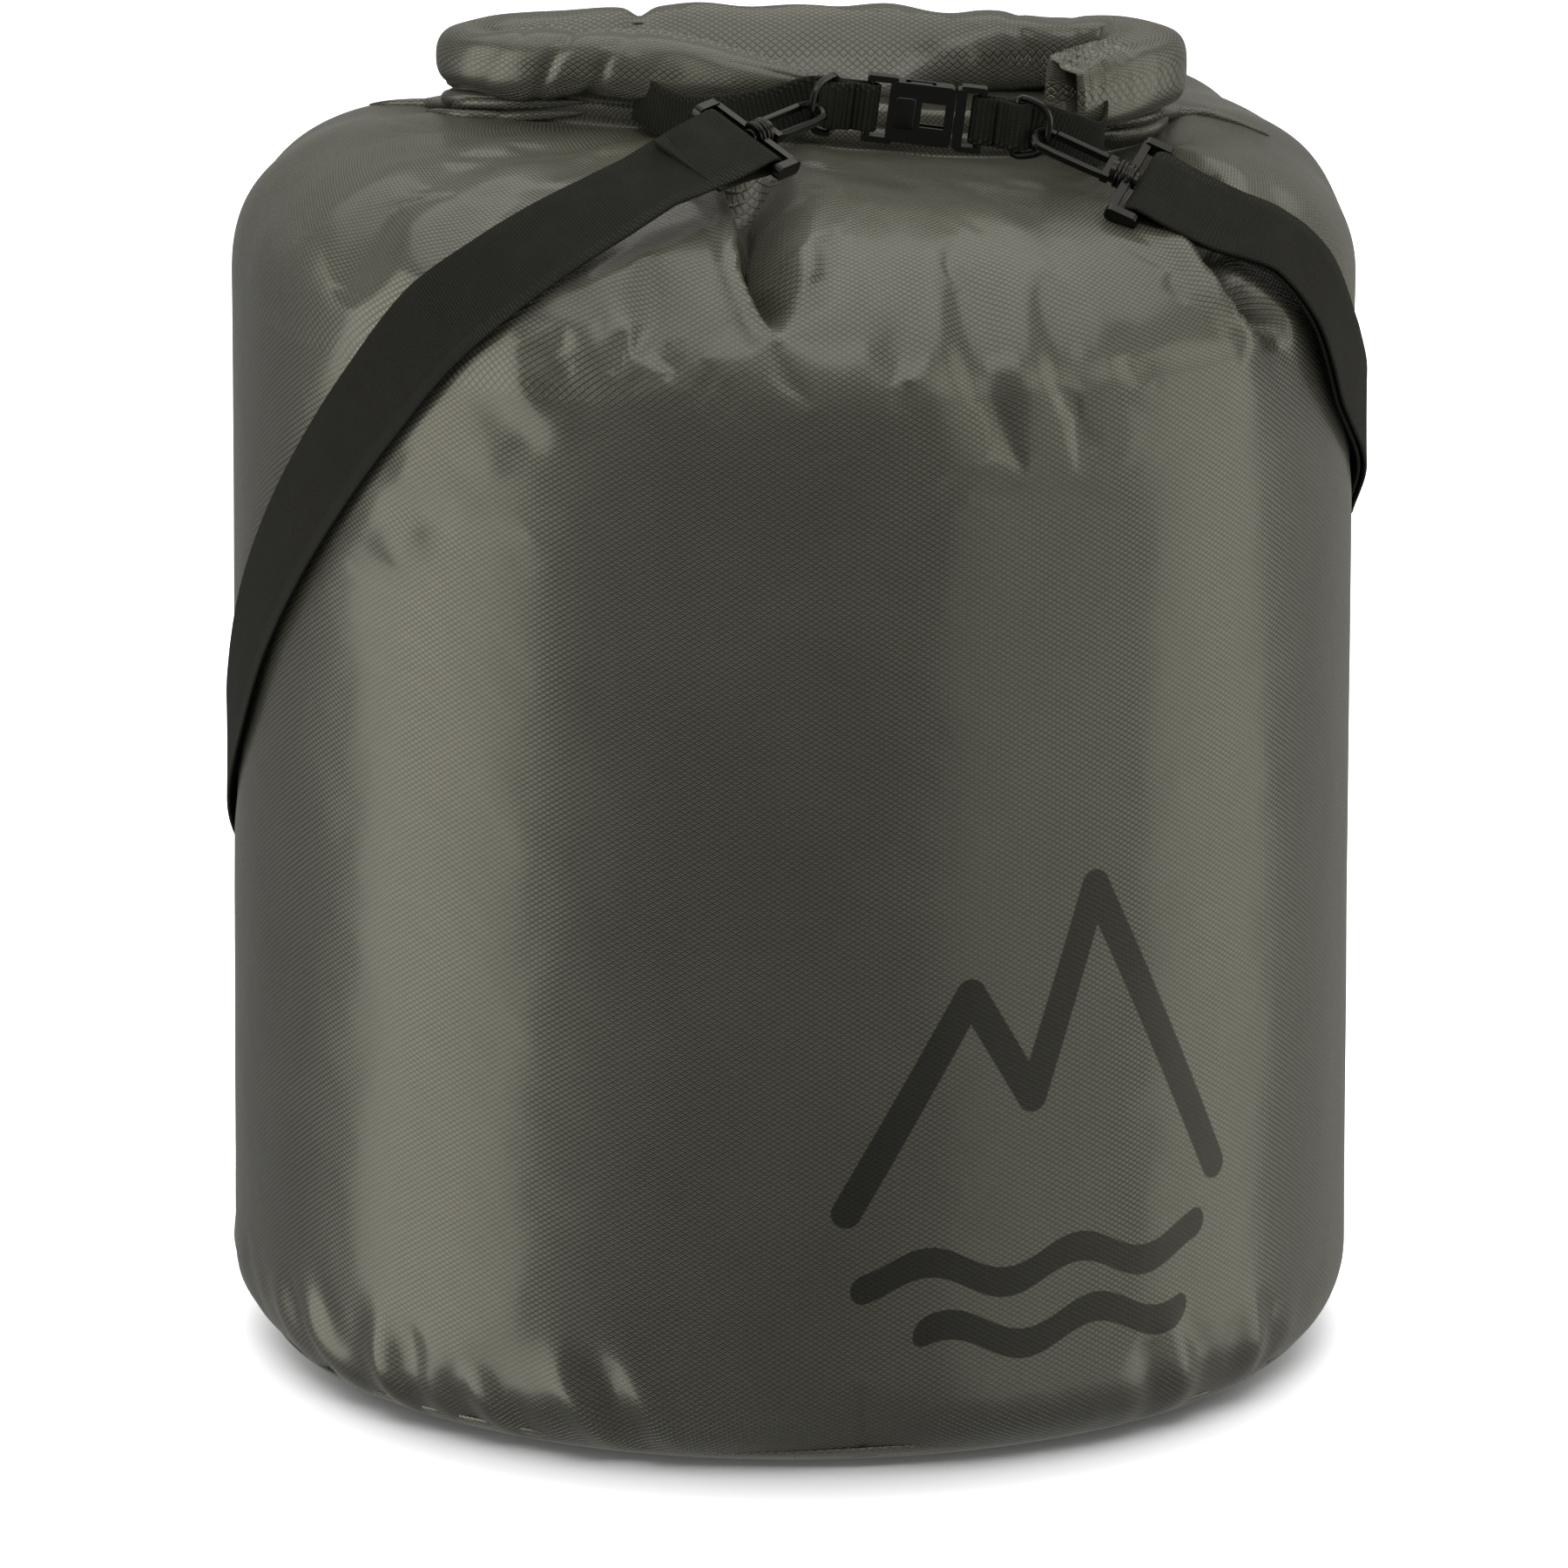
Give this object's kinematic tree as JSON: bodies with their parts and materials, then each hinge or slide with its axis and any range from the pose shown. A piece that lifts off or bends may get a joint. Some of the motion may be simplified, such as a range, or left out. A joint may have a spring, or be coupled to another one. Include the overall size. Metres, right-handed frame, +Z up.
{
  "type": "stuff sack",
  "caption": "Large stuffed roll-top sack with a buckled mouth loop, two D-rings and a webbing shoulder strap on swivel snap hooks.",
  "frame": {"origin": "middle of the flat base, on the surface that the sack stands on", "axes": "+Z up along the sack, -Y towards the front with the buckle, +X to the right seen from the front"},
  "size_m": [0.4753, 0.4719, 0.5581],
  "materials": {
    "coated_ripstop": "coated ripstop with a soft sheen",
    "webbing_black": "ribbed polypropylene webbing",
    "plastic_black": "satin moulded plastic",
    "seam_tape": "welded film tape",
    "stiffener_strip": "plain extruded strip"
  },
  "bodies": {
    "sack": {"body_panel": "coated_ripstop", "base_panel": "coated_ripstop", "base_seam_tape": "seam_tape", "side_seam_tape": "seam_tape", "rolled_mouth": "coated_ripstop", "mouth_stiffener": "stiffener_strip", "buckle_female": "plastic_black", "closure_webbing_left": "webbing_black", "ring_keeper_left": "webbing_black", "strap_long": "webbing_black", "strap_return": "webbing_black"},
    "closure_right": {"buckle_male": "plastic_black", "closure_webbing_right": "webbing_black", "ring_keeper_right": "webbing_black", "strap_right_loop": "webbing_black"},
    "prong_upper": {"buckle_prong_upper": "plastic_black"},
    "prong_lower": {"buckle_prong_lower": "plastic_black"},
    "adjuster": {"strap_adjuster": "plastic_black"},
    "ring_left": {"d_ring_left": "plastic_black"},
    "hook_base_left": {"hook_base_left": "plastic_black"},
    "hook_left": {"hook_left": "plastic_black"},
    "gate_left": {"hook_gate_left": "plastic_black"},
    "ring_right": {"d_ring_right": "plastic_black"},
    "hook_base_right": {"hook_base_right": "plastic_black"},
    "hook_right": {"hook_right": "plastic_black"},
    "gate_right": {"hook_gate_right": "plastic_black"}
  },
  "joints": [
    {"name": "buckle_release", "type": "slide", "parent": "sack", "child": "closure_right", "axis": [0.9925, 0, -0.1219], "range_m": [0, 0.026], "deforming": ["buckle_prong_upper", "buckle_prong_lower", "strap_right_loop"]},
    {"name": "prong_squeeze", "type": "hinge", "parent": "closure_right", "child": "prong_upper", "pos_m": [0.06721, -0.08, 0.54464], "axis": [0, -1, 0], "range_deg": [0, 7], "stiffness_Nm_per_rad": 0.05},
    {"name": "prong_squeeze_lower", "type": "hinge", "parent": "closure_right", "child": "prong_lower", "pos_m": [0.06521, -0.08, 0.52836], "axis": [0, 1, 0], "range_deg": [0, 7]},
    {"name": "adjuster_travel", "type": "hinge", "parent": "sack", "child": "adjuster", "pos_m": [0, 0, 0.15], "axis": [0, 0, 1], "range_deg": [-12, 12], "deforming": ["strap_return"]},
    {"name": "d_ring_left_tilt", "type": "hinge", "parent": "sack", "child": "ring_left", "pos_m": [0.01628, -0.0838, 0.54263], "axis": [0.1219, 0, 0.9925], "range_deg": [-5, 5]},
    {"name": "hook_base_left_tilt", "type": "hinge", "parent": "sack", "child": "hook_base_left", "pos_m": [-0.02101, -0.12989, 0.53764], "axis": [0.7262, -0.5419, -0.423], "range_deg": [-3, 3]},
    {"name": "hook_left_swivel", "type": "hinge", "parent": "hook_base_left", "child": "hook_left", "pos_m": [-0.01475, -0.12214, 0.53848], "axis": [0.6269, 0.7746, 0.0838], "range_deg": [-20, 20]},
    {"name": "hook_left_gate", "type": "hinge", "parent": "hook_left", "child": "gate_left", "pos_m": [-0.01238, -0.11173, 0.5415], "axis": [-0.2822, 0.3261, -0.9022], "range_deg": [0, 12], "stiffness_Nm_per_rad": 0.05},
    {"name": "d_ring_right_tilt", "type": "hinge", "parent": "closure_right", "child": "ring_right", "pos_m": [0.09172, -0.0838, 0.53337], "axis": [0.1219, 0, 0.9925], "range_deg": [-4, 4]},
    {"name": "hook_base_right_tilt", "type": "hinge", "parent": "closure_right", "child": "hook_base_right", "pos_m": [0.14542, -0.09573, 0.5107], "axis": [-0.3647, -0.8265, -0.4289], "range_deg": [-2, 1.2]},
    {"name": "hook_right_swivel", "type": "hinge", "parent": "hook_base_right", "child": "hook_right", "pos_m": [0.13639, -0.09373, 0.51451], "axis": [-0.9025, 0.2006, 0.3811], "range_deg": [-15, 20]},
    {"name": "hook_right_gate", "type": "hinge", "parent": "hook_right", "child": "gate_right", "pos_m": [0.12944, -0.08746, 0.52047], "axis": [0.2289, -0.526, 0.8191], "range_deg": [0, 12], "stiffness_Nm_per_rad": 0.05}
  ],
  "couplings": [
    {"joint": "prong_squeeze_lower", "follows": "prong_squeeze", "ratio": 1}
  ]
}
